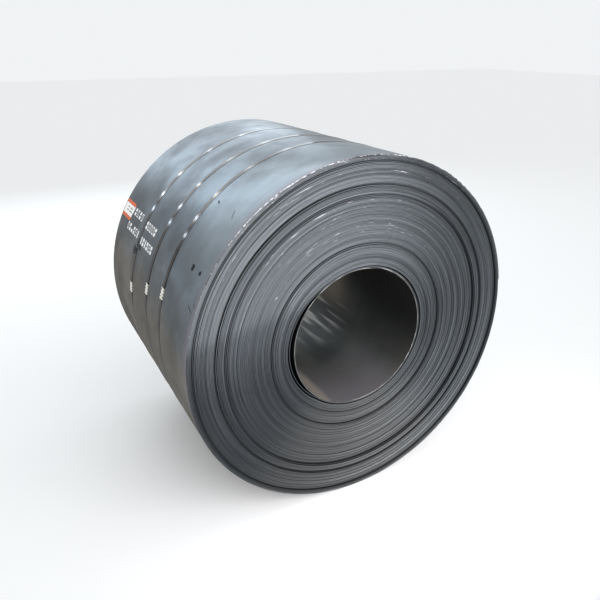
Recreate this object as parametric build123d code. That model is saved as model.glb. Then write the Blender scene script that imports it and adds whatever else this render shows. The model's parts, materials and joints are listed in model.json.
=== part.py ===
from build123d import *
import math
import os

# A coil of hot-rolled steel strip lying on its side, bound by three steel straps.
#
# Millimetres, +Z up. The coil's axis is the Y axis and its front end looks towards -Y.
# The origin is on that axis, halfway along the outermost turn. Angles round the coil are in
# degrees from +X towards +Z, as seen from the front, so 180 is the coil's left side.
# The strip is wound clockwise from its head, the free end inside the bore, to its tail.

# The strip and the coil
STRIP_WIDTH = 1500.0
STRIP_THICKNESS = 6.0
TURNS = 95
BORE_RADIUS = 381.0  # a 30 inch mandrel
COIL_RADIUS = BORE_RADIUS + TURNS * STRIP_THICKNESS

# How the turns sit on the ends: each turn is shifted along the axis by its own amount.
TELESCOPE = 26.0  # the innermost turn lies this much further back than the outermost
WEAVE = 1.3  # size of the small shifts from turn to turn
PROUD_TURNS = range(64, 71)  # a group that stands out of the front end
PROUD_BY = 5.0
# Turns that sit back by more than their neighbours: turn number from the bore, depth
SUNK_TURNS = {11: 6.0, 22: 8.0, 29: 3.0, 44: 3.0, 53: 4.0, 63: 9.0, 71: 9.0, 80: 5.0, 83: 5.0, 87: 4.0, 90: 9.0}

# The strip's head, sprung away from the turn outside it
HEAD_ANGLE = 229.0
GAP_FAR_ANGLE = 140.0
GAP_WIDTH = 20.0
GAP_END = 1.5  # the gap's width at its two ends
HEAD_CONTACT = 1.2  # degrees at the head's tip where it touches the next turn
HEAD_STEP = 5.6  # depth of the step beyond the head, a little less than the strip is thick
HEAD_STEP_ARC = 46.0  # and the degrees over which it runs out

# The strip's tail, a step one thickness deep on the outside
TAIL_ANGLE = 10.0
TAIL_RADIUS = COIL_RADIUS - STRIP_THICKNESS
TAIL_OFFSET = 6.5  # how far the centre of the surface below the tail is off the coil's axis

# Straps and their seals
STRAP_WIDTH = 32.0
STRAP_THICKNESS = 1.0
STRAP_OVERLAP = 150.0  # the upper end's length past the seal
SEAL_LENGTH = 58.0
SEAL_SHEET = 0.9
SEAL_REST = 0.6  # between the seal and the coil
FIT_GAP = 0.1
STRAP_SEAT = 0.05  # between the strap and the coil
CRIMPS = (-18.0, 0.0, 18.0)
CRIMP_SIDE = 4.0
STRAPS = {  # name: place along the axis, angle of its seal
    "front": (-313.0, 163.0),
    "middle": (-60.0, 167.0),
    "rear": (258.0, 173.0),
}

# The paper label
LABEL_FRONT = 547.0
LABEL_LENGTH = 190.0
LABEL_ANGLES = (147.0, 153.5)
LABEL_GAP = 0.1
LABEL_THICKNESS = 0.4

CLEAR = 60.0  # how far a cutting tool runs past what it cuts
SAME_POINT = 1e-6


def polar(radius, angle):
    """A point of the coil's section, which has X to the right and Z up."""
    return Vector(radius * math.cos(math.radians(angle)), radius * math.sin(math.radians(angle)))


def turn_shift(turn):
    """How far back a turn lies from its nominal place along the axis."""
    dish = TELESCOPE * (1 - turn / (TURNS - 1))
    weave = WEAVE * (math.sin(2.4 * turn) + 0.6 * math.sin(5.3 * turn + 1.0))
    proud = PROUD_BY if turn in PROUD_TURNS else 0.0
    return dish + weave + SUNK_TURNS.get(turn, 0.0) - proud


def end_steps(side):
    """One end of the coil as steps from the bore outwards; side is -1 in front and 1 behind."""
    steps = []
    for turn in range(TURNS):
        place = side * STRIP_WIDTH / 2 + turn_shift(turn)
        inner = BORE_RADIUS + turn * STRIP_THICKNESS
        steps += [(inner, place), (inner + STRIP_THICKNESS, place)]
    return steps


def prism(face, length):
    """A face of the coil's section, drawn in X and Z, made as long as this along Y."""
    return extrude(Plane.XZ * face, amount=length / 2, both=True)


def head_gap():
    """The crescent between the strip's head and the turn outside it."""
    inner = BORE_RADIUS + STRIP_THICKNESS
    first, last = GAP_FAR_ANGLE, HEAD_ANGLE - HEAD_CONTACT
    outer = ThreePointArc(
        polar(inner + GAP_END, first),
        polar(inner + GAP_WIDTH, (first + last) / 2 + 4),
        polar(inner + GAP_END, last),
    )
    lap = CenterArc((0, 0), inner, first, last - first)
    return make_face([lap, Line(lap @ 1, outer @ 1), outer, Line(outer @ 0, lap @ 0)])


def head_step():
    """What is missing from the bore's wall beyond the head, where the next turn shows."""
    edge = polar(BORE_RADIUS + HEAD_STEP, HEAD_ANGLE)
    far = polar(BORE_RADIUS - 1, HEAD_ANGLE + HEAD_STEP_ARC)
    middle = polar(BORE_RADIUS + HEAD_STEP / 2, HEAD_ANGLE + HEAD_STEP_ARC / 2)
    inside = polar(BORE_RADIUS - STRIP_THICKNESS, HEAD_ANGLE)
    return make_face([ThreePointArc(edge, middle, far), Line(far, inside), Line(inside, edge)])


def tail_centre():
    return polar(TAIL_OFFSET, TAIL_ANGLE - 90)


def tail_end(grown=0.0):
    """Where the surface below the tail runs into the outermost turn's, as angles round its own centre
    and round the coil's axis, for surfaces that lie this much further out."""
    outside, below = COIL_RADIUS + grown, TAIL_RADIUS + grown
    cosine = (outside**2 + TAIL_OFFSET**2 - below**2) / (2 * outside * TAIL_OFFSET)
    point = polar(outside, TAIL_ANGLE - 90 + math.degrees(math.acos(cosine)))
    spoke = point - tail_centre()
    return math.degrees(math.atan2(spoke.Y, spoke.X)), math.degrees(math.atan2(point.Y, point.X))


def tail_step():
    """What is missing from the outside beyond the tail, where the turn below it shows."""
    first = tail_end()[0] - 3
    foot = TAIL_ANGLE + math.degrees(math.asin(TAIL_OFFSET / TAIL_RADIUS))
    below = CenterArc(tail_centre(), TAIL_RADIUS, first, foot - first)
    above = CenterArc((0, 0), COIL_RADIUS + CLEAR, first, TAIL_ANGLE - first)
    return make_face([below, Line(below @ 1, above @ 1), above, Line(above @ 0, below @ 0)])


def make_coil():
    outline = end_steps(-1) + end_steps(1)[::-1]
    coil = revolve(make_face(Polyline(*outline, close=True)), axis=Axis.Y)
    length = STRIP_WIDTH + 4 * CLEAR
    return coil - prism(head_gap(), length) - prism(head_step(), length) - prism(tail_step(), length)


def flat_height(layer):
    """Height above the axis of a strap's inner face under its seal; layer is 0 or 1."""
    lowest = COIL_RADIUS + SEAL_REST + SEAL_SHEET + FIT_GAP
    return lowest + layer * (STRAP_THICKNESS + FIT_GAP)


def straight(start, end):
    """A straight run of strap, as a function of the height above its inner face."""
    outward = (end - start).normalized().rotate(Axis.Z, 90)
    return lambda height: Line(start + outward * height, end + outward * height)


def bend(centre, radius, first, last):
    """A run of strap round a circle, as a function of the height above its inner face."""
    return lambda height: CenterArc(centre, radius + height, first, last - first)


def strap_runs(seal_angle):
    """A strap's runs, clockwise from the end inside its seal to the end on top of it."""

    def beside_seal(along, height):
        return Vector(along, height).rotate(Axis.Z, seal_angle - 90)

    half = SEAL_LENGTH / 2 + 2
    layer = STRAP_THICKNESS + FIT_GAP
    low, high = flat_height(0), flat_height(1)
    outside, below = COIL_RADIUS + STRAP_SEAT, TAIL_RADIUS + STRAP_SEAT
    reach = [
        math.degrees(math.atan2(half, h) + math.acos(outside / math.hypot(half, h)))
        for h in (low, high)
    ]
    leaves, returns = seal_angle - reach[0], seal_angle - 360 + reach[1]

    tail_edge = polar(outside, TAIL_ANGLE)
    from_centre = tail_edge - tail_centre()
    tail_own, tail_round = tail_end(STRAP_SEAT)
    lands = math.degrees(
        math.atan2(from_centre.Y, from_centre.X) - math.acos(below / from_centre.length)
    )
    lower_corner = beside_seal(half, low)
    upper_corner = beside_seal(-half, high)
    lower_run = straight(lower_corner, polar(outside, leaves))
    over = lower_run(layer)  # the upper end lies on the lower one
    return [
        straight(beside_seal(2 - half, low), lower_corner),
        lower_run,
        bend((0, 0), outside, leaves, TAIL_ANGLE),
        straight(tail_edge, tail_centre() + polar(below, lands)),
        bend(tail_centre(), below, lands, tail_own),
        bend((0, 0), outside, tail_round, returns),
        straight(polar(outside, returns), upper_corner),
        straight(upper_corner, beside_seal(half, high)),
        straight(over @ 0, over @ 1),
        bend((0, 0), outside + layer, leaves, leaves - math.degrees(STRAP_OVERLAP / outside)),
    ]


def joined(edges):
    """The edges in order, with a short line across each corner that they leave open."""
    chain = [edges[0]]
    for edge in edges[1:]:
        corner = chain[-1] @ 1
        if (edge @ 0 - corner).length > SAME_POINT:
            chain.append(Line(corner, edge @ 0))
        chain.append(edge)
    return chain


def on_coil(shape, place, angle):
    """Puts a shape drawn with +Z outwards and Y along the coil on the coil's side."""
    return Pos(0, place, 0) * Rot(0, 90 - angle, 0) * shape


def crimps(place, seal_angle):
    """The notches that the crimping tool bites into both edges of the seal and strap."""
    edge = STRAP_WIDTH / 2 + 1.7
    notch = Pos(0, 0, COIL_RADIUS) * Rot(0, 0, 45) * Box(CRIMP_SIDE, CRIMP_SIDE, 20)
    notches = [Pos(along, side * edge, 0) * notch for along in CRIMPS for side in (-1, 1)]
    return [on_coil(notch, place, seal_angle) for notch in notches]


def make_strap(place, seal_angle):
    runs = strap_runs(seal_angle)
    inner = joined([run(0) for run in runs])
    outer = joined([run(STRAP_THICKNESS) for run in runs])
    ends = [Line(inner[0] @ 0, outer[0] @ 0), Line(inner[-1] @ 1, outer[-1] @ 1)]
    band = Pos(0, place, 0) * prism(make_face(inner + outer + ends), STRAP_WIDTH)
    return band - crimps(place, seal_angle)


def make_seal(place, seal_angle):
    """A sleeve of sheet round both ends of the strap."""
    low = flat_height(0) - FIT_GAP
    high = flat_height(1) + STRAP_THICKNESS + FIT_GAP
    middle, room = (low + high) / 2, high - low
    inside = Pos(0, 0, middle) * Box(SEAL_LENGTH + 2, STRAP_WIDTH + 4 * FIT_GAP, room)
    outside = Pos(0, 0, middle) * Box(
        SEAL_LENGTH, STRAP_WIDTH + 4 * FIT_GAP + 2 * SEAL_SHEET, room + 2 * SEAL_SHEET
    )
    return on_coil(outside - inside, place, seal_angle) - crimps(place, seal_angle)


def make_label():
    first, last = LABEL_ANGLES
    inner = CenterArc((0, 0), COIL_RADIUS + LABEL_GAP, first, last - first)
    outer = CenterArc((0, 0), COIL_RADIUS + LABEL_GAP + LABEL_THICKNESS, first, last - first)
    sheet = make_face([inner, Line(inner @ 1, outer @ 1), outer, Line(outer @ 0, inner @ 0)])
    return Pos(0, LABEL_FRONT + LABEL_LENGTH / 2, 0) * prism(sheet, LABEL_LENGTH)


def make_parts():
    parts = {"coil": make_coil()}
    for name, (place, seal_angle) in STRAPS.items():
        parts[f"strap_{name}"] = make_strap(place, seal_angle)
        parts[f"seal_{name}"] = make_seal(place, seal_angle)
    parts["label"] = make_label()
    return parts


os.makedirs("parts", exist_ok=True)
for name, shape in make_parts().items():
    export_step(shape, f"parts/{name}.step")
    print(name, len(shape.solids()), "solid", round(shape.volume / 1e6, 3), "litres")
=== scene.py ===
# %% [markdown]
# A coil of hot-rolled steel strip.
# A rolling mill winds hot strip round a mandrel into a coil of about a hundred turns, pulls the
# mandrel out and ties the coil with steel straps. Blue-grey mill scale covers the strip, so the
# side of the coil is a broad satin cylinder, and each end shows the edges of all the turns.
# Here the measured model comes in as a fixed frame, and Blender adds what the eye looks for:
# the wandering edges of the turns, the sprung head inside the bore, crimped seals, paint and scale.

# %% Load the frame
import json
import math
import random

import bmesh
import bpy
from mathutils import Matrix, Quaternion, Vector


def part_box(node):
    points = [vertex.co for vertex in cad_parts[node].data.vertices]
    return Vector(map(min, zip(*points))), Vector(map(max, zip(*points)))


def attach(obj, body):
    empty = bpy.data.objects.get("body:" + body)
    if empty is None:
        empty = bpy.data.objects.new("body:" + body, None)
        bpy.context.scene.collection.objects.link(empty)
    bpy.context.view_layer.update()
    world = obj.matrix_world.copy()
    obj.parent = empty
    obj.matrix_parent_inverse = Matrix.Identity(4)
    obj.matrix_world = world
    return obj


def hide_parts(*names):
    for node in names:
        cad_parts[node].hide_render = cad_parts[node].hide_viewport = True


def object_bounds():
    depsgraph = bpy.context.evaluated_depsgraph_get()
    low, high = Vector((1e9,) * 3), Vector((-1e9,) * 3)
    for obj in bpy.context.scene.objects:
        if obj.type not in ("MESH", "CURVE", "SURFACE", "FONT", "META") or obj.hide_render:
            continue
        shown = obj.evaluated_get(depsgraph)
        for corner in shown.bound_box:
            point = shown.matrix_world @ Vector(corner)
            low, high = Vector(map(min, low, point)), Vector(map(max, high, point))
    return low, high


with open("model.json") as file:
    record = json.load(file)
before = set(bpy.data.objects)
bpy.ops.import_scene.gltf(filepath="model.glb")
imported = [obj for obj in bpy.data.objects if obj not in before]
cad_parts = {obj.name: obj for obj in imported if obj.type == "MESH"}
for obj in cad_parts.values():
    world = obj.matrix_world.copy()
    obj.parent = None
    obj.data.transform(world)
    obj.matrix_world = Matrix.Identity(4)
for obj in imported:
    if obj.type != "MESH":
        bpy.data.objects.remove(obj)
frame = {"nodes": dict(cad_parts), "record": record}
cad_low, cad_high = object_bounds()
MM = 0.001
print("the frame holds", sorted(frame["nodes"]))

# %% [markdown]
# Everything is placed from a few measures of the frame. The coil's axis is the Y axis, its front
# end looks towards -Y, and an angle round the coil starts at +X and grows towards +Z, as seen
# from the front. So 90 degrees is the top and 180 degrees the left side.

# %% Read the coil's measures
bore = next(m for m in frame["record"]["mounts"] if m["name"] == "bore")
BORE = bore["dims"]["r_mm"] * MM
WIDTH = bore["dims"]["length_mm"] * MM
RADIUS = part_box("coil")[1].z
TURNS = 95
THICK = (RADIUS - BORE) / TURNS
print(f"bore {BORE:.3f}, outside {RADIUS:.3f}, width {WIDTH:.3f}, strip {THICK * 1000:.2f} mm thick")


def spot(radius, angle, along=0.0):
    """The point at this radius, at this angle in degrees round the coil and this far along it."""
    turn = math.radians(angle)
    return Vector((radius * math.cos(turn), along, radius * math.sin(turn)))


# %% [markdown]
# The camera stands three metres off, a little above the coil and to the left of its front end.
# It looks past the coil's middle rather than at it, so it is turned by its own two angles.

# %% Set up the camera
CAMERA_AZIMUTH, CAMERA_HEIGHT = math.radians(-34.73), math.radians(27.29)
CAMERA_DISTANCE = 3.1208
LOOK_TURN, LOOK_DOWN = math.radians(-28.01), math.radians(23.66)
camera = bpy.data.objects.new("camera", bpy.data.cameras.new("camera"))
camera.data.lens, camera.data.sensor_width = 35.58, 36.0
back = Vector(
    (
        math.sin(CAMERA_AZIMUTH) * math.cos(CAMERA_HEIGHT),
        -math.cos(CAMERA_AZIMUTH) * math.cos(CAMERA_HEIGHT),
        math.sin(CAMERA_HEIGHT),
    )
)
ahead = Vector(
    (
        -math.sin(LOOK_TURN) * math.cos(LOOK_DOWN),
        math.cos(LOOK_TURN) * math.cos(LOOK_DOWN),
        -math.sin(LOOK_DOWN),
    )
)
camera.location = spot(0, 0, -WIDTH / 2) + back * CAMERA_DISTANCE
camera.rotation_mode = "QUATERNION"
camera.rotation_quaternion = ahead.to_track_quat("-Z", "Y")
bpy.context.scene.collection.objects.link(camera)
bpy.context.scene.camera = camera
print("camera at", [round(c, 3) for c in camera.location])

# %% [markdown]
# Colours are written as hex codes, the way painters and screens name them, but light is reckoned in
# linear values, so one function turns the one into the other. Every material is a small web of
# nodes. One function adds a node of any kind with its settings and its links, so a line of code
# reads like one node.


# %% Colour helper
def colour(code):
    """A linear colour with alpha from an sRGB hex code."""
    parts = [int(code[i : i + 2], 16) / 255 for i in (0, 2, 4)]
    return [c / 12.92 if c <= 0.04045 else ((c + 0.055) / 1.055) ** 2.4 for c in parts] + [1.0]


print("the grey 808080 is", round(colour("808080")[0], 3), "in linear light")

# %% Node helpers
# Settings that many nodes share: a soft step, a mix of colours, a mix that only darkens, a product
# and a dot product.
SMOOTH = {"interpolation_type": "SMOOTHSTEP"}
TINT = {"data_type": "RGBA"}
SHADE = {"data_type": "RGBA", "blend_type": "MULTIPLY"}
TIMES = {"operation": "MULTIPLY"}
DOT = {"operation": "DOT_PRODUCT"}


def fill(node, *values, **named):
    """Fills a node's inputs in order or by name: a node is linked in, a hex code becomes a colour."""
    pairs = list(zip([socket for socket in node.inputs if socket.enabled], values))
    pairs += [(node.inputs[key.replace("_", " ")], value) for key, value in named.items()]
    for socket, value in pairs:
        if isinstance(value, bpy.types.Node):
            value = next(out for out in value.outputs if out.enabled)
        if isinstance(value, bpy.types.NodeSocket):
            node.id_data.links.new(value, socket)
        else:
            socket.default_value = colour(value) if isinstance(value, str) else value


def add(tree, kind, settings=None, *values, stops=(), **named):
    """Adds a shader node with its settings and inputs; stops are a ramp's places and colours."""
    node = tree.nodes.new("ShaderNode" + kind)
    for key, value in (settings or {}).items():
        setattr(node, key, value)
    while len(stops) > len(node.color_ramp.elements if stops else ()):
        node.color_ramp.elements.new(1.0)
    for element, (place, value) in zip(node.color_ramp.elements if stops else (), stops):
        element.position = place
        element.color = colour(value) if isinstance(value, str) else [value] * 3 + [1.0]
    fill(node, *values, **named)
    return node


def new_material(name):
    """A material with one Principled shader, returned with its tree and that shader."""
    material = bpy.data.materials.new(name)
    material.use_nodes = True
    return material, material.node_tree, material.node_tree.nodes["Principled BSDF"]


# %% [markdown]
# A finished mesh always goes through the same steps: it becomes an object at the origin, rides on
# the coil's body, takes its finishes, and may stand for a measured node.


# %% A helper that finishes a piece
def finish_piece(name, bm, materials, replaces=(), sharp=40.0):
    """Makes a bmesh the object of this name; edges over this many degrees stay sharp."""
    mesh = bpy.data.meshes.new(name)
    bm.to_mesh(mesh)
    bm.free()
    for polygon in mesh.polygons:
        polygon.use_smooth = True
    mesh.set_sharp_from_angle(angle=math.radians(sharp))
    piece = bpy.data.objects.new(name, mesh)
    bpy.context.scene.collection.objects.link(piece)
    for material in materials:
        mesh.materials.append(material)
    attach(piece, "root")
    if replaces:
        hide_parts(*replaces)
    print(f"{name}: {sum(len(p.vertices) - 2 for p in mesh.polygons)} triangles")


# %% [markdown]
# The wound coil. On the real thing one strip, 6 mm thick, spirals outwards, and no turn lies quite
# flush with the next: groups of turns wander along the axis, a few sit deep and read as dark
# rings, and the middle has slid back by the width of a thumb. The measured model has this as flat
# steps. Modelling each turn as its own curve would be slow to shape. Here one closed outline of
# all the strip's edges is drawn and spun round the axis, and then every ring of points is nudged,
# so that a turn's edge can wander as it goes round.

# %% Which turns sit deep
TELESCOPE = 26.0 * MM  # how much further back the innermost turn lies than the outermost
# Each groove: its middle turn, counted from the bore, its depth in mm and its half width in turns.
GROOVES = (
    (9.5, 4.0, 1.2),
    (13.0, 3.0, 2.2),
    (22.0, 10.0, 1.2),
    (29.5, 1.8, 1.0),
    (44.0, 1.8, 1.0),
    (53.0, 2.6, 0.8),
    (62.6, 12.0, 1.3),
    (71.4, 12.0, 1.3),
    (80.0, 2.4, 0.8),
    (83.5, 2.2, 0.8),
    (86.8, 2.0, 0.7),
    (89.9, 9.0, 1.3),
)
# A group of turns stands out between these two, by so many mm.
PROUD_FROM, PROUD_TO, PROUD_BY = 64.5, 69.5, 4.0


def turn_shift(turn):
    """How far back a turn lies from the outermost one, in metres."""
    dish = TELESCOPE * (1 - turn / (TURNS - 1))
    weave = 0.7 * math.sin(2.4 * turn) + 0.5 * math.sin(5.3 * turn + 1.0) + 0.9 * math.sin(0.37 * turn)
    deep = sum(depth * math.exp(-(((turn - middle) / half) ** 2)) for middle, depth, half in GROOVES)
    proud = PROUD_BY if PROUD_FROM < turn < PROUD_TO else 0.0
    return dish + (weave + deep - proud) * MM


def wander(turn, angle):
    """How a turn's edge strays along the axis as it goes round, in metres."""
    a = math.radians(angle)
    slow = math.sin(a + 0.35 * turn) + 0.7 * math.sin(2 * a - 0.9 * turn)
    quick = math.sin(5 * a + 2.1 * turn) + 0.6 * math.sin(9 * a - 3.7 * turn)
    return (0.4 * slow + 0.07 * quick) * MM


print("the deepest turn lies back by", round(max(turn_shift(n) for n in range(TURNS)) / MM, 1), "mm")

# %% Draw the outline of all the edges
EDGE_ROUND = 1.2 * MM  # the strip's edge is rounded by the rolls
EDGE_DEPTH = 1.2 * MM
SLOTS = {1: 0.3 * MM, 2: 1.0 * MM}  # half the width of the slot that these turns have before them
SLOT_FLOOR = 60 * MM  # how far from the coil's middle the slots end
SUPPORT = 5 * MM  # a ring this far from the rim keeps the side's shading straight


def end_outline(side):
    """One end from the bore outwards, as (radius, place along the axis); side is -1 in front."""
    points = []
    for turn in range(TURNS):
        place = side * WIDTH / 2 + turn_shift(turn)
        inner, outer = BORE + turn * THICK, BORE + (turn + 1) * THICK
        before = side * WIDTH / 2 + turn_shift(turn - 1) if turn else place
        deeper = min(place, before) if side > 0 else max(place, before)
        bottom = deeper - side * EDGE_DEPTH
        if turn in SLOTS:
            half = SLOTS[turn]
            floor = side * SLOT_FLOOR
            points += [(inner - half, bottom), (inner - half, floor)]
            points += [(inner + half, floor), (inner + half, bottom)]
        elif turn:
            points.append((inner, bottom))
        else:
            points += [(inner, bottom - side * SUPPORT), (inner, bottom)]
        points += [(inner + EDGE_ROUND, place), (outer - EDGE_ROUND, place)]
    points += [(RADIUS, place - side * EDGE_DEPTH), (RADIUS, place - side * (EDGE_DEPTH + SUPPORT))]
    return points


outline = end_outline(-1) + end_outline(1)[::-1]
print(len(outline), "points in the outline")

# %% Spin the outline round the axis
SEGMENTS = 160
coil = bmesh.new()
ring = [coil.verts.new(spot(radius, 0.0, along)) for radius, along in outline]
edges = [coil.edges.new((a, b)) for a, b in zip(ring, ring[1:] + ring[:1])]
bmesh.ops.spin(
    coil,
    geom=ring + edges,
    cent=(0, 0, 0),
    axis=(0, -1, 0),
    angle=math.tau,
    steps=SEGMENTS,
    use_merge=True,
)
bmesh.ops.recalc_face_normals(coil, faces=coil.faces)
print(len(coil.verts), "points after the spin")

# %% [markdown]
# Now the rings are nudged. Inside the bore the strip's head has sprung away from the next turn, so
# a black crescent opens behind it, and past its tip the bore steps out by one thickness. The next
# turn has come loose too. Outside, the tail ends in a step. A step needs two columns of points
# side by side, so the two columns nearest to it are drawn up to it.

# %% Measures of the head and the tail
HEAD, GAP_FROM = 229.0, 116.0  # the angles of the head's tip and of the far end of the gap behind it
HEAD_RAMP = 46.0  # degrees over which the innermost turn comes back from the head's step
GAP = 23.0 * MM
LOOSE_GAP, LOOSE_SWELL = 3.0 * MM, 4.5 * MM  # behind the second turn: everywhere, and at its widest
GAP_FADE = 85 * MM  # the turns outside a gap are squeezed over this depth
LOOSE_AT = 20.0  # the angle at which, and opposite to which, that gap is widest
TAIL, TAIL_RAMP = 10.0, 67.0  # the angle of the tail's step, and degrees over which it runs out
STEP = 0.12  # degrees from a step to the columns on either side
HEAD_THINNED, TAIL_THINNED = 0.93, 0.97  # the share of its thickness that a turn loses at the step
JAGGED = 0.6 * MM  # how uneven the rims of the first and the last turn are
DENT, DENT_IN = (62, 78), 9 * MM  # a dent in the lip of the bore: its angles and its depth
FLARE, FLARE_OUT = (78, 86), 5 * MM  # the lip beside it stands out


def drawn_to_steps(angle):
    """The angle of a column, drawn up to the head's or the tail's step where it is next to one."""
    column = 360.0 / SEGMENTS
    for step in (HEAD, TAIL):
        off = (angle - step + 180) % 360 - 180
        if 0 < off < column:
            return step + STEP
        if -column < off <= 0:
            return step - STEP
    return angle


def bulge(angle, first, last, lean=1.0):
    """From 0 at one angle up to 1 and back to 0 at another; a lean over 1 puts its top later."""
    along = (angle - first) / (last - first)
    return math.sin(math.pi * along**lean) if 0 < along < 1 else 0.0


def fade(depth, reach):
    """1 at no depth, falling smoothly to 0 at reach."""
    part = min(max(depth / reach, 0.0), 1.0)
    return 1 - part * part * (3 - 2 * part)


print("the gap behind the head opens over", HEAD - GAP_FROM, "degrees")


# %% Where a point of the spun coil goes
def nudged(radius, angle, along):
    """The new place of a point at this radius, angle and place along the axis."""
    lap = (radius - BORE) / THICK
    turn = min(int(lap + 0.02), TURNS - 1)
    if abs(along) > WIDTH / 2 - 2 * TELESCOPE:
        along += wander(turn, angle)
        if turn in (0, TURNS - 1):
            along += random.uniform(-JAGGED, JAGGED)
        if turn == 0:
            along += DENT_IN * bulge(angle, *DENT) - FLARE_OUT * bulge(angle, *FLARE)
        along = min(max(along, cad_low[1]), cad_high[1])
    new = radius
    if lap > 1:
        new += GAP * bulge(angle, GAP_FROM, HEAD, 1.1) * fade(radius - BORE - THICK, GAP_FADE)
    if lap > 2:
        loose = LOOSE_GAP + LOOSE_SWELL * math.cos(math.radians(angle - LOOSE_AT)) ** 2
        new += loose * fade(radius - BORE - 2 * THICK, GAP_FADE)
    if lap < 0.9 and HEAD < angle < HEAD + HEAD_RAMP:
        new += HEAD_THINNED * fade(angle - HEAD, HEAD_RAMP) * (BORE + THICK - radius)
    below = (TAIL - angle) % 360
    if lap > TURNS - 0.99 and 0 < below < TAIL_RAMP:
        new -= TAIL_THINNED * fade(below, TAIL_RAMP) * (radius - (RADIUS - THICK))
    return spot(new, angle, along)


behind_head = BORE + 1.5 * THICK
opened = nudged(behind_head, 180, 0.0).length - behind_head
print("at the left the turn behind the head has moved out by", round(opened / MM, 1), "mm")

# %% Nudge every point, and note which turn it belongs to
random.seed(6)
lap_layer = coil.verts.layers.float.new("lap")
for vert in coil.verts:
    radius = math.hypot(vert.co.x, vert.co.z)
    angle = math.degrees(math.atan2(vert.co.z, vert.co.x)) % 360
    vert[lap_layer] = (radius - BORE) / THICK
    vert.co = nudged(radius, drawn_to_steps(angle), vert.co.y)
print("points nudged:", len(coil.verts))

# %% [markdown]
# The coil's finishes. Mill scale is the skin of iron oxide that forms while the strip is hot: a
# blue-grey satin that is almost metallic, mottled in clouds 30 cm wide, with fine streaks the way
# the strip ran through the rolls. Patterns have to follow the strip round the coil, so the helper
# below splits the object's own coordinates into the direction round the coil and the place along
# it. A pattern stretched on those runs round the coil like the strip does.


# %% Coordinates that follow the strip
def round_coil(tree):
    """Nodes for the place, its two shares round the coil (1 at the right, 1 at the top), and its Y."""
    place = add(tree, "TexCoord").outputs["Object"]
    parts = add(tree, "SeparateXYZ", None, place).outputs
    flat = add(tree, "CombineXYZ", X=parts["X"], Z=parts["Z"])
    unit = add(tree, "SeparateXYZ", None, add(tree, "VectorMath", {"operation": "NORMALIZE"}, flat))
    return place, unit.outputs["X"], unit.outputs["Z"], parts["Y"]


def stretched(tree, right, middle, top, long, wide, radius=RADIUS):
    """A place for marks of this length round the coil, at this radius, and of this width."""
    flat = add(tree, "CombineXYZ", X=right, Y=middle, Z=top)
    scales = (radius / long, 1 / wide, radius / long)
    return add(tree, "VectorMath", TIMES, flat, scales)


def facing(tree, sides, angle, edge, core, most):
    """A soft mask on the part that lies this way: nothing at the edge, and the most at the core."""
    share = add(tree, "VectorMath", DOT, sides, spot(1.0, angle))
    return add(tree, "MapRange", SMOOTH, share, edge, core, 0.0, most)


print("one degree round the side is", round(math.radians(1) * RADIUS / MM, 1), "mm")


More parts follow.
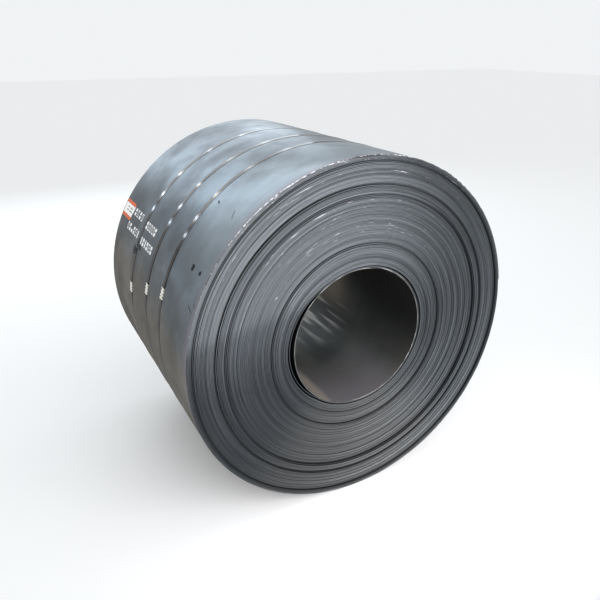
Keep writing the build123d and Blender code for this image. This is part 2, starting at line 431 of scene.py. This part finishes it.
# %% Mill scale on the coil's side
def make_side():
    # Hot-rolled steel with its scale on: satin, blue-grey, cloudy; a painted sky reflection at the upper
    # front, a painted brown ground reflection low on the sides.
    material, tree, shader = new_material("mill_scale_on_rolled_face")
    place, right, top, along = round_coil(tree)
    # The clouds, the streaks of the rolls and the grain. Real grain is finer than the eye can see
    # from here, so it is drawn coarser.
    clouds = add(
        tree, "TexNoise", Vector=place, Scale=1 / (294 * MM), Detail=4.0, Roughness=0.55, Distortion=0.5
    )
    streak_at = stretched(tree, right, along, top, 792 * MM, 16.67 * MM)
    streaks = add(tree, "TexNoise", Vector=streak_at, Scale=1.0, Detail=5.0, Roughness=0.6)
    grain = add(tree, "TexNoise", Vector=place, Scale=1 / (6.25 * MM), Detail=3.0)
    tone = add(tree, "ValToRGB", Fac=clouds, stops=((0.32, "525B63"), (0.5, "5E6972"), (0.68, "707D87")))
    # Painted sky reflection: the scale is painted paler and bluer on its upper part towards the front
    # end.
    pale = add(tree, "MapRange", SMOOTH, along, -0.2, -0.62, 0.0, 0.65)
    upper = add(tree, "MapRange", SMOOTH, top, 0.35, 0.75, 0.0, 1.0)
    pale = add(tree, "Math", TIMES, pale, upper)
    tone = add(tree, "Mix", TINT, pale, tone, "9CA9B1")
    # Rust and dust lie in patches. The lower half, reaching higher towards the rear with a ragged edge,
    # is painted brown: a painted reflection of dark ground.
    rust = add(tree, "TexNoise", Vector=place, Scale=1 / (476 * MM), Detail=4.0, Roughness=0.6)
    edge = add(tree, "Math", {"operation": "MULTIPLY_ADD"}, along, -0.2, top)
    edge = add(tree, "Math", {"operation": "MULTIPLY_ADD"}, rust, -0.35, edge)
    low = add(tree, "MapRange", None, edge, 0.36, -0.06, 0.0, 0.95)
    patchy = add(tree, "MapRange", None, rust, 0.45, 0.68, 0.0, 0.22)
    dust_and_painted_reflection = add(tree, "Math", {"operation": "MAXIMUM"}, low, patchy)
    dust_and_reflection_tone = add(tree, "ValToRGB", Fac=clouds, stops=((0.35, "65625D"), (0.65, "7A7670")))
    tone = add(tree, "Mix", TINT, dust_and_painted_reflection, tone, dust_and_reflection_tone)
    # Handling has rubbed the last hand's width before the front rim to a paler, rosy grey.
    rim = add(tree, "MapRange", SMOOTH, along, -0.69, -0.75, 0.0, 0.75)
    rubbed = add(tree, "MapRange", None, streaks, 0.35, 0.6, 0.2, 1.0)
    rim = add(tree, "Math", TIMES, rim, rubbed)
    tone = add(tree, "Mix", TINT, rim, tone, "857F87")
    lines = add(tree, "ValToRGB", Fac=streaks, stops=((0.35, 0.7), (0.65, 1.0)))
    tone = add(tree, "Mix", SHADE, 0.3, tone, lines)
    rough = add(tree, "MapRange", None, clouds, 0.3, 0.7, 0.37, 0.28)
    rough = add(tree, "Math", {"operation": "MULTIPLY_ADD"}, grain, 0.1, rough)
    # Dust is no metal: it scatters light, and so it dulls the glancing shine of the scale; the painted
    # brown lower half is made as dull.
    rough = add(tree, "Mix", {"data_type": "FLOAT"}, dust_and_painted_reflection, rough, 0.75)
    metal = add(tree, "MapRange", None, dust_and_painted_reflection, 0.0, 1.0, 0.9, 0.0)
    waves = add(tree, "TexNoise", Vector=place, Scale=1 / (250 * MM), Detail=1.0)
    waved = add(tree, "Bump", Height=waves, Distance=4 * MM, Strength=0.3)
    grained = add(tree, "Bump", Height=grain, Distance=0.12 * MM, Strength=0.6, Normal=waved)
    fill(
        shader, Base_Color=tone, Metallic=metal, Roughness=rough, Normal=grained, Specular_IOR_Level=0.0
    )
    return material


side_scale = make_side()
print(side_scale.name, "has", len(side_scale.node_tree.nodes), "nodes")

# %% [markdown]
# The ends show the sheared and rolled edges of the strip: the same scale, duller, each turn a
# little lighter or darker than the next. Crane hooks and straps have rubbed the rim and some of the
# upper turns down to bright metal, in slivers a few centimetres long. The turn that a point belongs
# to was noted on the mesh, so these marks can keep to their own turns.

# %% Where the edges are worn and where they lie deep
# A turn's number as a share of all the turns, and how scuffed the upper half is there.
SCUFFS = (
    (0.30, 0.0),
    (0.36, 0.62),
    (0.43, 0.55),
    (0.46, 0.1),
    (0.515, 0.6),
    (0.535, 0.1),
    (0.56, 0.75),
    (0.585, 0.1),
    (0.625, 0.8),
    (0.65, 0.0),
    (0.83, 0.1),
    (0.865, 0.7),
    (0.9, 0.65),
    (0.92, 0.2),
    (0.97, 0.5),
    (0.99, 0.85),
)
# The same for the nicks: some turns a little inside the rim, and the rim itself.
NICKS = ((0.956, 0.0), (0.966, 0.92), (0.974, 0.1), (0.99, 0.3), (0.997, 1.0))
# The same for the painted shade in the deeper grooves: nothing on either side, and most in the middle.
DARK_FROM = 4.0  # mm deep
GROOVE_SHADE = []
for middle, depth, half in GROOVES:
    if depth >= DARK_FROM:
        for offset, dark in ((-1.1, 0.0), (0.0, 0.85), (1.1, 0.0)):
            GROOVE_SHADE.append(((middle + 0.5 + offset * half) / TURNS, dark))
print(len(GROOVE_SHADE) // 3, "grooves are deep enough to be dark")


# %% Rubbed scale on the strip's edges
def make_edges():
    # Sheared steel edges under scale: dull, dark, finely lined round the coil, bright where rubbed.
    material, tree, shader = new_material("rubbed_scale_on_strip_edge")
    place, right, top, _ = round_coil(tree)
    lap = add(tree, "Attribute", {"attribute_name": "lap"}).outputs["Fac"]
    across = add(tree, "Math", TIMES, lap, THICK)  # how far out from the bore, in metres
    own = add(tree, "Math", {"operation": "FLOOR"}, lap)
    each = add(tree, "TexWhiteNoise", {"noise_dimensions": "1D"}, W=own)
    tone = add(tree, "ValToRGB", Fac=each, stops=((0.0, "3D4144"), (1.0, "585C5F")))
    # Turns drift between light and dark as they go round.
    drift_at = stretched(tree, right, across, top, 594 * MM, THICK / 0.9)
    drift = add(tree, "TexNoise", Vector=drift_at, Scale=1.0, Detail=2.0)
    shade = add(tree, "ValToRGB", Fac=drift, stops=((0.33, 0.55), (0.66, 1.0)))
    tone = add(tree, "Mix", SHADE, 0.85, tone, shade)
    # Painted shade darkens the lower left of the end, up to a soft slanting edge.
    painted_lower_left_shade = add(tree, "VectorMath", DOT, place, (-0.14, 0.0, 0.99))
    painted_lower_left_shade = add(tree, "MapRange", SMOOTH, painted_lower_left_shade, 0.335, 0.24, 0.0, 0.45)
    leftwards = add(tree, "MapRange", None, right, 0.5, -0.3, 0.0, 1.0)
    painted_lower_left_shade = add(tree, "Math", TIMES, painted_lower_left_shade, leftwards)
    tone = add(tree, "Mix", TINT, painted_lower_left_shade, tone, "1E2226")
    # The lowest turns are painted lighter: a painted reflection of the bright floor.
    painted_floor_reflection = add(tree, "MapRange", SMOOTH, top, -0.55, -1.0, 0.0, 0.2)
    tone = add(tree, "Mix", TINT, painted_floor_reflection, tone, "8F8E8B")
    # Painted shade darkens the deep turns.
    share = add(tree, "Math", {"operation": "DIVIDE"}, lap, float(TURNS))
    deep = add(tree, "ValToRGB", Fac=share, stops=GROOVE_SHADE)
    tone = add(tree, "Mix", TINT, deep, tone, "17191B")
    # Scuffs: slivers 95 mm long and not quite half a turn wide, kept to the turns listed above.
    listed = add(tree, "ValToRGB", Fac=share, stops=SCUFFS)
    upper = add(tree, "MapRange", SMOOTH, top, 0.15, 0.85, 0.0, 1.0)
    worn = add(tree, "Math", TIMES, listed, upper)
    sliver_at = stretched(tree, right, across, top, 95 * MM, THICK / 2.2)
    sliver = add(tree, "TexNoise", Vector=sliver_at, Scale=1.0, Detail=3.0, Roughness=0.6)
    raised = add(tree, "Math", {"operation": "MULTIPLY_ADD"}, worn, 0.16, sliver)
    scuff = add(tree, "MapRange", None, raised, 0.75, 0.8, 0.0, 0.9)
    tone = add(tree, "Mix", TINT, scuff, tone, "C6C5C9")
    # The rim itself is chipped: nicks 10 mm long, and most of them near the top.
    nick_at = stretched(tree, right, across, top, 10.57 * MM, THICK / 0.8)
    nick = add(tree, "TexNoise", Vector=nick_at, Scale=1.0, Detail=3.0, Roughness=0.7)
    outermost = add(tree, "ValToRGB", Fac=share, stops=NICKS)
    side_wear = add(tree, "MapRange", None, top, 0.35, 0.8, -0.09, 0.09)
    nicked = add(tree, "Math", {"operation": "ADD"}, nick, side_wear)
    nicked = add(tree, "Math", TIMES, nicked, outermost)
    nicked = add(tree, "MapRange", None, nicked, 0.53, 0.6, 0.0, 0.9)
    tone = add(tree, "Mix", TINT, nicked, tone, "F0ECF0")
    # The lip of the innermost turn was rubbed by the mandrel.
    lip = add(tree, "MapRange", None, lap, 0.75, 0.95, 0.3, 0.0)
    tone = add(tree, "Mix", TINT, lip, tone, "86827E")
    rough = add(tree, "MapRange", None, drift, 0.3, 0.7, 0.26, 0.36)
    # Shallow lines run round the coil. The shears leave finer ones, too fine to show.
    line_at = stretched(tree, right, across, top, 2717 * MM, THICK / 1.7)
    line = add(tree, "TexNoise", Vector=line_at, Scale=1.0, Detail=1.0)
    lined = add(tree, "Bump", Height=line, Distance=0.5 * MM, Strength=0.28)
    fill(shader, Metallic=0.8, Base_Color=tone, Roughness=rough, Normal=lined)
    return material


edge_scale = make_edges()
print(edge_scale.name, "has", len(edge_scale.node_tree.nodes), "nodes")

# %% [markdown]
# Inside the bore the scale stayed dark, because no hand gets there. Painted shade darkens it under the
# crown and in a patch low on the right, where pale painted highlights run along the axis; painted warm
# light lies further in on the right, and purplish painted light on the bottom of the mouth. Around the
# tip of the strip's head the steel is rubbed to a warm grey.


# %% Dark scale inside the bore
def make_bore():
    # Scale that the mandrel pressed smooth, a little glossy; the near black is painted shade, the brown
    # is painted warm light.
    material, tree, shader = new_material("scale_with_painted_light_inside_bore")
    place, right, top, along = round_coil(tree)
    clouds = add(
        tree, "TexNoise", Vector=place, Scale=1 / (333 * MM), Detail=4.0, Roughness=0.6, Distortion=0.5
    )
    tone = add(tree, "ValToRGB", Fac=clouds, stops=((0.3, "4E5050"), (0.5, "5F605C"), (0.7, "706B61")))
    sides = add(tree, "CombineXYZ", X=right, Z=top)
    # Painted shade: near black under the crown on the right.
    painted_crown_shade = facing(tree, sides, 48, -0.35, 0.75, 0.92)
    tone = add(tree, "Mix", TINT, painted_crown_shade, tone, "1C1C1E")
    # Painted warm light: a brown haze further in on the right.
    painted_warm_light = facing(tree, sides, 348, 0.85, 0.99, 0.5)
    further = add(tree, "MapRange", SMOOTH, along, -0.1, 0.2, 0.0, 1.0)
    painted_warm_light = add(tree, "Math", TIMES, painted_warm_light, further)
    tone = add(tree, "Mix", TINT, painted_warm_light, tone, "7A6E5E")
    # Halfway in and low on the right, painted shade darkens the scale, and pale painted highlights run
    # along the axis there.
    painted_shade_zone = facing(tree, sides, 302, 0.78, 0.97, 1.0)
    inwards = add(tree, "MapRange", SMOOTH, along, -0.45, -0.08, 0.0, 1.0)
    painted_shade_zone = add(tree, "Math", TIMES, painted_shade_zone, inwards)
    outwards = add(tree, "MapRange", SMOOTH, along, 0.3, 0.6, 1.0, 0.0)
    painted_shade_zone = add(tree, "Math", TIMES, painted_shade_zone, outwards)
    dark = add(tree, "Math", TIMES, painted_shade_zone, 0.88)
    tone = add(tree, "Mix", TINT, dark, tone, "27292A")
    # The painted highlights lie 32 mm apart round the bore, and each is 385 mm long.
    line_at = stretched(tree, right, along, top, 31.75 * MM, 385 * MM, BORE)
    line = add(tree, "TexNoise", Vector=line_at, Scale=1.0, Detail=1.0)
    lines = add(tree, "MapRange", None, line, 0.5, 0.7, 0.0, 0.75)
    lines = add(tree, "Math", TIMES, lines, painted_shade_zone)
    deeper = add(tree, "MapRange", SMOOTH, along, -0.2, 0.12, 0.0, 1.0)
    lines = add(tree, "Math", TIMES, lines, deeper)
    tone = add(tree, "Mix", TINT, lines, tone, "9C9A94")
    # Painted light: a purplish glow on the bottom of the mouth.
    mouth = add(tree, "MapRange", None, along, -0.25, -0.62, 0.0, 1.0)
    low = facing(tree, sides, 264, 0.5, 0.96, 0.9)
    painted_mouth_light = add(tree, "Math", TIMES, mouth, low)
    tone = add(tree, "Mix", TINT, painted_mouth_light, tone, "878387")
    # The strip is rubbed to a warm grey around the head's tip.
    tip = facing(tree, sides, HEAD + 6, 0.968, 0.997, 0.9)
    near = add(tree, "MapRange", SMOOTH, along, -0.25, -0.47, 0.0, 1.0)
    tip = add(tree, "Math", TIMES, near, tip)
    tone = add(tree, "Mix", TINT, tip, tone, "ADA398")
    rough = add(tree, "MapRange", None, clouds, 0.3, 0.7, 0.45, 0.3)
    waves = add(tree, "TexNoise", Vector=place, Scale=1 / (200 * MM), Detail=1.0)
    waved = add(tree, "Bump", Height=waves, Distance=5 * MM, Strength=0.5)
    fill(
        shader, Metallic=0.45, Specular_Tint="9A9A9A", Base_Color=tone, Roughness=rough, Normal=waved
    )
    return material


bore_scale = make_bore()
print(bore_scale.name, "has", len(bore_scale.node_tree.nodes), "nodes")

# %% Give each face of the coil its finish
SIDE, EDGES, INSIDE = range(3)
END_LEAN = 0.35  # a face belongs to the ends when its normal leans this far along the axis
BORE_WALL = 0.3  # the wall of the bore ends within this share of the first turn
for face in coil.faces:
    lap = sum(vert[lap_layer] for vert in face.verts) / len(face.verts)
    if abs(face.normal.y) > END_LEAN or BORE_WALL < lap < TURNS - 1:
        face.material_index = EDGES
    else:
        face.material_index = SIDE if lap > TURNS / 2 else INSIDE
COIL_FINISHES = [side_scale, edge_scale, bore_scale]
finish_piece("wound_coil", coil, COIL_FINISHES, replaces=["coil"], sharp=28.0)

# %% [markdown]
# The straps are the measured ones. Blued steel band is brown-grey and smoother than the scale, so
# it looks dark against the bright top of the coil, and it glints where it comes over from the side.


# %% Blued steel for the straps
def make_strap():
    # Cold-rolled band, blued and waxed: smooth, brown-grey, scratched bright in short lines.
    material, tree, shader = new_material("blued_steel_band")
    place, right, top, along = round_coil(tree)
    worn = add(tree, "TexNoise", Vector=place, Scale=1 / (143 * MM), Detail=4.0, Roughness=0.6)
    tone = add(tree, "ValToRGB", Fac=worn, stops=((0.3, "343435"), (0.7, "565350")))
    # Scratches are 79 mm long and, to show at all, drawn nearly 4 mm wide.
    scratch_at = stretched(tree, right, along, top, 79.2 * MM, 3.846 * MM)
    scratch = add(tree, "TexNoise", Vector=scratch_at, Scale=1.0, Detail=2.0)
    bright = add(tree, "MapRange", None, scratch, 0.64, 0.72, 0.0, 0.5)
    tone = add(tree, "Mix", TINT, bright, tone, "A39C90")
    rough = add(tree, "MapRange", None, worn, 0.3, 0.7, 0.1, 0.18)
    # Low on the sides oil and dust have dulled it.
    metal = add(tree, "MapRange", None, top, 0.2, 0.45, 0.35, 1.0)
    fill(shader, Metallic=metal, Specular_Tint="DADADA", Specular_IOR_Level=0.0)
    fill(shader, Base_Color=tone, Roughness=rough)
    return material


strap_steel = make_strap()
straps = [node for name, node in frame["nodes"].items() if name.startswith("strap_")]
for node in straps:
    node.data.materials.clear()
    node.data.materials.append(strap_steel)
print(len(straps), "straps finished")

# %% [markdown]
# A seal is a short sleeve of zinc-plated sheet. The tool that closes it bites three notches into
# each edge, through the seal and both ends of the strap, and throws up a ridge between them. A
# grid is pinched in at the notches, its edges are folded down and under with two extrusions, and
# the sheet gets its thickness last.

# %% Measures of a seal
SEAL_LONG, SEAL_WIDE, SEAL_SHEET = 58 * MM, 40 * MM, 0.8 * MM
SEAL_TOP, SEAL_FOOT = 3.75 * MM, 0.6 * MM  # how high the sleeve's top and foot are over the coil
SEAL_FOLD = 7 * MM  # how far each edge is folded under
SEAL_CROWN = 0.8 * MM  # how much its edges are rounded down
CRIMPS = (-18 * MM, 0.0, 18 * MM)
CRIMP_REACH = 6 * MM
BITE_IN, BITE_DOWN = 0.26, 1.5 * MM  # the share of the width that a crimp takes, and its depth
SEALS = {"seal_front": 163.0, "seal_middle": 167.0, "seal_rear": 173.0}  # the angles round the coil


def bitten(x):
    """How far the crimping tool has bitten in at this place along the seal, from 0 to 1."""
    return max(0.0, max(1 - abs(x - crimp) / CRIMP_REACH for crimp in CRIMPS))


print("3 mm from the middle of a crimp, the share that it has bitten in is", bitten(3 * MM))


# %% Zinc plate for the seals
def make_zinc():
    # Zinc-plated sheet: pale, spangled in patches of 10 mm, with a yellowish film.
    material, tree, shader = new_material("zinc_plated_sheet")
    place = add(tree, "TexCoord").outputs["Object"]
    spangle = add(tree, "TexVoronoi", {"feature": "F1"}, Vector=place, Scale=1 / (10 * MM))
    spangle = spangle.outputs["Distance"]
    tone = add(tree, "ValToRGB", Fac=spangle, stops=((0.1, "F6F4EC"), (0.7, "DAD6CB")))
    rough = add(tree, "MapRange", None, spangle, 0.0, 0.8, 0.28, 0.45)
    fill(shader, Metallic=0.6, Base_Color=tone, Roughness=rough)
    return material


zinc = make_zinc()
print(zinc.name, "has", len(zinc.node_tree.nodes), "nodes")


# %% Fold and crimp a seal
def make_seal(name, angle):
    """The seal that stands for this measured node, at this angle round the coil."""
    seal = bmesh.new()
    bmesh.ops.create_grid(seal, x_segments=36, y_segments=12, size=0.5)
    bmesh.ops.scale(seal, vec=(SEAL_LONG, SEAL_WIDE, 1), verts=seal.verts)
    for vert in seal.verts:
        outward = abs(vert.co.y) / (SEAL_WIDE / 2)
        bite = bitten(vert.co.x)
        vert.co.y *= 1 - BITE_IN * bite * outward**2
        vert.co.z = SEAL_TOP - BITE_DOWN * bite * outward - SEAL_CROWN * outward**4
    for sideways, down in ((0.0, 1.0), (1.0, 0.0)):
        rims = [e for e in seal.edges if e.is_boundary and abs(e.verts[0].co.y) > 0.3 * SEAL_WIDE]
        rims = [e for e in rims if abs(e.verts[0].co.x - e.verts[1].co.x) > 0.1 * MM]
        folded = bmesh.ops.extrude_edge_only(seal, edges=rims)["geom"]
        for vert in (g for g in folded if isinstance(g, bmesh.types.BMVert)):
            if down:
                vert.co.z = SEAL_FOOT
            vert.co.y -= math.copysign(SEAL_FOLD * sideways, vert.co.y)
    bmesh.ops.recalc_face_normals(seal, faces=seal.faces)
    bmesh.ops.solidify(seal, geom=seal.faces, thickness=-SEAL_SHEET)
    turned = math.radians(angle)
    upwards = Vector((math.sin(turned), 0, -math.cos(turned)))
    outwards = spot(1.0, angle)
    basis = Matrix((upwards, Vector((0, 1, 0)), outwards)).transposed().to_4x4()
    low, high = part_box(name)
    place = spot(RADIUS, angle, (low[1] + high[1]) / 2)
    bmesh.ops.transform(seal, matrix=Matrix.Translation(place) @ basis, verts=seal.verts)
    bmesh.ops.recalc_face_normals(seal, faces=seal.faces)
    finish_piece("crimped_" + name, seal, [zinc], replaces=[name], sharp=35.0)


for name, angle in SEALS.items():
    make_seal(name, angle)

# %% [markdown]
# The label is a paper sticker near the rear end, white with an orange band at its top and bottom.
# It is the measured node. Its bands follow the angle round the coil, which the material works out
# from the object's coordinates. The print is plain grey bars.


# %% Printed paper
LABEL_ANGLES = (147.0, 153.5)  # the label's upper and lower edge
# Where each band or bar begins, as a share of the label: orange and white, then none or all of it.
BANDS = ((0.0, "D9622E"), (0.2, "FBFAF7"), (0.8, "D9622E"))
BARS_DOWN = ((0.0, 0.0), (0.34, 1.0), (0.42, 0.0), (0.52, 1.0), (0.62, 0.0))
BARS_ACROSS = ((0.0, 0.0), (0.12, 1.0), (0.42, 0.0), (0.52, 1.0), (0.7, 0.0))


def make_paper():
    # Coated paper, printed and smudged: matt, white, with bands of orange ink.
    material, tree, shader = new_material("printed_paper")
    place = add(tree, "TexCoord").outputs["Object"]
    parts = add(tree, "SeparateXYZ", None, place).outputs
    angle = add(tree, "Math", {"operation": "ARCTAN2"}, parts["Z"], parts["X"])
    degrees = add(tree, "Math", TIMES, angle, math.degrees(1))
    down = add(tree, "MapRange", None, degrees, *LABEL_ANGLES, 0.0, 1.0)
    low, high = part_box("label")
    across = add(tree, "MapRange", None, parts["Y"], low[1], high[1], 0.0, 1.0)
    sheet = add(tree, "ValToRGB", Fac=down, stops=BANDS)
    rows = add(tree, "ValToRGB", Fac=down, stops=BARS_DOWN)
    columns = add(tree, "ValToRGB", Fac=across, stops=BARS_ACROSS)
    for ramp in (sheet, rows, columns):
        ramp.color_ramp.interpolation = "CONSTANT"
    bars = add(tree, "Math", TIMES, rows, columns)
    bars = add(tree, "Math", TIMES, bars, 0.75)
    tone = add(tree, "Mix", TINT, bars, sheet, "4C4F54")
    dirt = add(tree, "TexNoise", Vector=place, Scale=1 / (25 * MM), Detail=4.0)
    smudge = add(tree, "ValToRGB", Fac=dirt, stops=((0.35, 0.8), (0.6, 1.0)))
    tone = add(tree, "Mix", SHADE, 0.25, tone, smudge)
    fill(shader, Base_Color=tone, Roughness=0.6)
    return material


label = frame["nodes"]["label"]
label.data.materials.clear()
label.data.materials.append(make_paper())
print("the label's finish is", label.data.materials[0].name)

# %% [markdown]
# Two rows of white paint are stencilled beside the label. They stand here as plain blocks, hollow
# boxes and pairs of bars, and say nothing. Each mark starts as a grid of cells, the cells that the
# stencil covers are deleted, the rest is bent onto the coil, and solidify makes it a film of paint.


# %% Bend a flat drawing onto the coil
def lay_on_side(flat, whole, angle, along, height, thick):
    """Bends a flat drawing onto the side, gives it thickness and adds it to a whole.

    Its x runs up the left of the coil and its y along the axis."""
    for vert in flat.verts:
        x, y, z = vert.co
        vert.co = spot(RADIUS + height + z, angle - math.degrees(x / RADIUS), along + y)
    bmesh.ops.solidify(flat, geom=flat.faces, thickness=-thick)
    bmesh.ops.recalc_face_normals(flat, faces=flat.faces)
    part = bpy.data.meshes.new("part")
    flat.to_mesh(part)
    flat.free()
    whole.from_mesh(part)
    bpy.data.meshes.remove(part)


print("ten millimetres up the side are", round(math.degrees(10 * MM / RADIUS), 2), "degrees")

# %% The marks of the stencil
CELLS_UP, CELLS_ALONG = 7, 5
MARK_HIGH, MARK_WIDE = 44 * MM, 28 * MM
PAINT_HEIGHT, PAINT_THICK = 0.1 * MM, 0.15 * MM
FRONT = -WIDTH / 2


def painted(kind, row, column):
    """Whether paint covers this cell of a mark of this kind."""
    if kind == "box":
        return row in (0, CELLS_UP - 1) or column in (0, CELLS_ALONG - 1)
    if kind == "bar":
        return column in (1, 2, 3)
    if kind == "pair":
        return row != CELLS_UP // 2
    return row < CELLS_UP - 4


print("a mark is cut from", CELLS_UP * CELLS_ALONG, "cells")

# %% Cut the marks and lay them in rows
ROWS = (  # angle, how far behind the front end the row starts, its pitch and its marks
    (149.2, 1310 * MM, 49 * MM, ("bar", "pair", "box", "pair", "box")),
    (150.0, 989 * MM, 40 * MM, ("pair", "box", "box", "box", "pair")),
    (155.0, 1304 * MM, 44 * MM, ("box", "pair", "low", "pair", "box", "bar")),
    (155.6, 988 * MM, 40 * MM, ("bar", "pair", "bar", "pair", "box", "pair")),
)


def make_stencil_paint():
    # Spray paint through a stencil: matt white, thin in patches so the scale shows through.
    material, tree, shader = new_material("sprayed_white_paint")
    place = add(tree, "TexCoord").outputs["Object"]
    thin = add(tree, "TexNoise", Vector=place, Scale=1 / (14.3 * MM), Detail=4.0, Roughness=0.7)
    tone = add(tree, "ValToRGB", Fac=thin, stops=((0.3, "9EA2A5"), (0.42, "F3F4F5")))
    fill(shader, Base_Color=tone, Roughness=0.65)
    return material


stencil = bmesh.new()
for angle, start, pitch, marks in ROWS:
    for count, kind in enumerate(marks):
        mark = bmesh.new()
        bmesh.ops.create_grid(mark, x_segments=CELLS_UP, y_segments=CELLS_ALONG, size=0.5)
        hidden = []
        for face in mark.faces:
            middle = face.calc_center_median()
            row, column = int((middle.x + 0.5) * CELLS_UP), int((middle.y + 0.5) * CELLS_ALONG)
            if not painted(kind, row, column):
                hidden.append(face)
        bmesh.ops.delete(mark, geom=hidden, context="FACES")
        bmesh.ops.scale(mark, vec=(MARK_HIGH, MARK_WIDE, 1), verts=mark.verts)
        along = FRONT + start - count * pitch - MARK_WIDE / 2
        lay_on_side(mark, stencil, angle, along, PAINT_HEIGHT, PAINT_THICK)
finish_piece("stencil_blocks", stencil, [make_stencil_paint()])

# %% [markdown]
# Loose flakes of scale and a few scrapes lie dark on the side, most of them near the front rim, and
# a smear of grease sits on the rear strap. Each starts as a circle, is roughened and drawn out,
# turned its own way, and laid on like the paint.

# %% Flakes, scrapes and a smear
# The angle, how many mm behind the front end, length and width in mm, how far it is turned, and
# its height over the side in mm, which is more where it lies on the strap or on its doubled end.
FLAKES = (
    (149.5, 189, 38, 34, 20, 0.25),
    (149.5, 94, 24, 26, 0, 0.25),
    (130.4, 355, 30, 10, 60, 0.25),
    (131.2, 150, 62, 3.4, 35, 0.25),
    (159.3, 62, 76, 5.0, 70, 0.25),
    (157.4, 30, 36, 4.5, 50, 0.25),
    (160.2, 1049, 62, 40, 10, 0.25),
    (157.9, 965, 44, 30, 60, 0.25),
    (159.7, 1008, 42, 28, 0, 2.4),
    (156.9, 1008, 44, 28, 0, 1.3),
    (172.0, 170, 9, 6, 0, 0.25),
    (161.0, 1180, 30, 3.0, 10, 0.25),
)
FLAKE_THICK = 0.2 * MM


def make_flake():
    # Loose mill scale and old grease: almost black and dull.
    material, tree, shader = new_material("loose_scale_and_grease")
    place = add(tree, "TexCoord").outputs["Object"]
    speck = add(tree, "TexNoise", Vector=place, Scale=1 / (4.55 * MM), Detail=3.0)
    tone = add(tree, "ValToRGB", Fac=speck, stops=((0.35, "14161A"), (0.65, "34383D")))
    fill(shader, Base_Color=tone, Roughness=0.7, Specular_IOR_Level=0.1)
    return material


random.seed(11)
flakes = bmesh.new()
for angle, behind, long, wide, turned, height in FLAKES:
    flake = bmesh.new()
    bmesh.ops.create_circle(flake, cap_ends=True, segments=16, radius=0.5)
    for vert in flake.verts:
        vert.co *= random.uniform(0.7, 1.15)
    bmesh.ops.scale(flake, vec=(long * MM, wide * MM, 1), verts=flake.verts)
    turn = Matrix.Rotation(math.radians(turned), 3, "Z")
    bmesh.ops.rotate(flake, cent=(0, 0, 0), matrix=turn, verts=flake.verts)
    lay_on_side(flake, flakes, angle, FRONT + behind * MM, height * MM, FLAKE_THICK)
finish_piece("scale_flakes", flakes, [make_flake()])

# %% [markdown]
# The studio: a wide pale floor under a white sky, a broad cool panel high behind the coil that its
# side mirrors, one low in front that its end mirrors, and five slim lamps that glint in the
# straps. The lamps themselves can't be seen.

# %% Floor
FLOOR_HALF = 40.0
FLOOR_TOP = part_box("strap_middle")[0].z
floor = bmesh.new()
bmesh.ops.create_grid(floor, x_segments=1, y_segments=1, size=FLOOR_HALF)
bmesh.ops.translate(floor, verts=floor.verts, vec=(0, 0, FLOOR_TOP))
floor_mesh = bpy.data.meshes.new("floor")
floor.to_mesh(floor_mesh)
floor.free()
floor_object = bpy.data.objects.new("floor", floor_mesh)
bpy.context.scene.collection.objects.link(floor_object)
pale, _, pale_shader = new_material("painted_studio_floor")
fill(pale_shader, Base_Color="F8F8F7", Roughness=0.9)
floor_mesh.materials.append(pale)
print("the floor lies at", round(FLOOR_TOP, 4))

# %% Sky
world = bpy.data.worlds.new("studio")
bpy.context.scene.world = world
world.use_nodes = True
fill(world.node_tree.nodes["Background"], Color="F6F8FA", Strength=0.95)
print("the sky is", world.name)


# %% Lamps
def soft_light(name, place, aim, size, radiance, tint):
    """A panel of this width and height in metres, as bright as this many times white paper."""
    light = bpy.data.lights.new(name, "AREA")
    light.shape, light.size, light.size_y = "RECTANGLE", size[0], size[1]
    light.energy, light.color = radiance * math.pi * size[0] * size[1], colour(tint)[:3]
    lamp = bpy.data.objects.new(name, light)
    lamp.location = place
    lamp.rotation_mode = "QUATERNION"
    lamp.rotation_quaternion = (Vector(aim) - Vector(place)).to_track_quat("-Z", "Y")
    lamp.visible_camera = False
    bpy.context.scene.collection.objects.link(lamp)
    return lamp


soft_light("rear_panel", (0.4, 6.5, 3.3), (0, 0, 0.6), (6.4, 3.2), 2.5, "E2ECF4")
front = soft_light("front_panel", (0.27, -2.0, 0.1), (0.27, 0, 0.1), (2.05, 1.24), 6.0, "F6F5F8")
front.rotation_quaternion @= Quaternion((0, 0, 1), math.radians(20))
print("two panels set up")

# %% Slim lamps for the straps
SLIM_WIDE, SLIM_LONG, SLIM_AWAY = 110 * MM, 3.4, 5.5
# Each lamp: the angle round the coil where it glints, its radiance and its tint.
GLINTS = (
    (144.0, 17.0, "DDEBFF"),
    (138.0, 21.0, "E4EFFF"),
    (129.0, 17.0, "F4F4F0"),
    (116.0, 11.0, "EAF0F8"),
    (103.0, 9.0, "EAF0F8"),
)


def mirrored(angle):
    """The direction in which the middle of the side mirrors the camera at this angle."""
    normal = spot(1.0, angle)
    sight = (spot(RADIUS, angle) - camera.location).normalized()
    return sight - 2 * sight.dot(normal) * normal


banded = bpy.data.collections.new("straps_lit_by_slim_lamps")
for node in straps:
    banded.objects.link(node)
for count, (angle, radiance, tint) in enumerate(GLINTS):
    start = spot(RADIUS, angle)
    away = mirrored(angle)
    place = start + away * SLIM_AWAY
    lamp = soft_light(f"slim_lamp_{count}", place, start, (SLIM_WIDE, SLIM_LONG), radiance, tint)
    # The lamp's long side lies along the coil's axis.
    side = away.cross(Vector((0, 1, 0))).normalized()
    upright = away.cross(side)
    lamp.rotation_quaternion = Matrix((side, upright, away)).transposed().to_quaternion()
    lamp.light_linking.receiver_collection = banded
bpy.context.scene.view_settings.view_transform = "Standard"
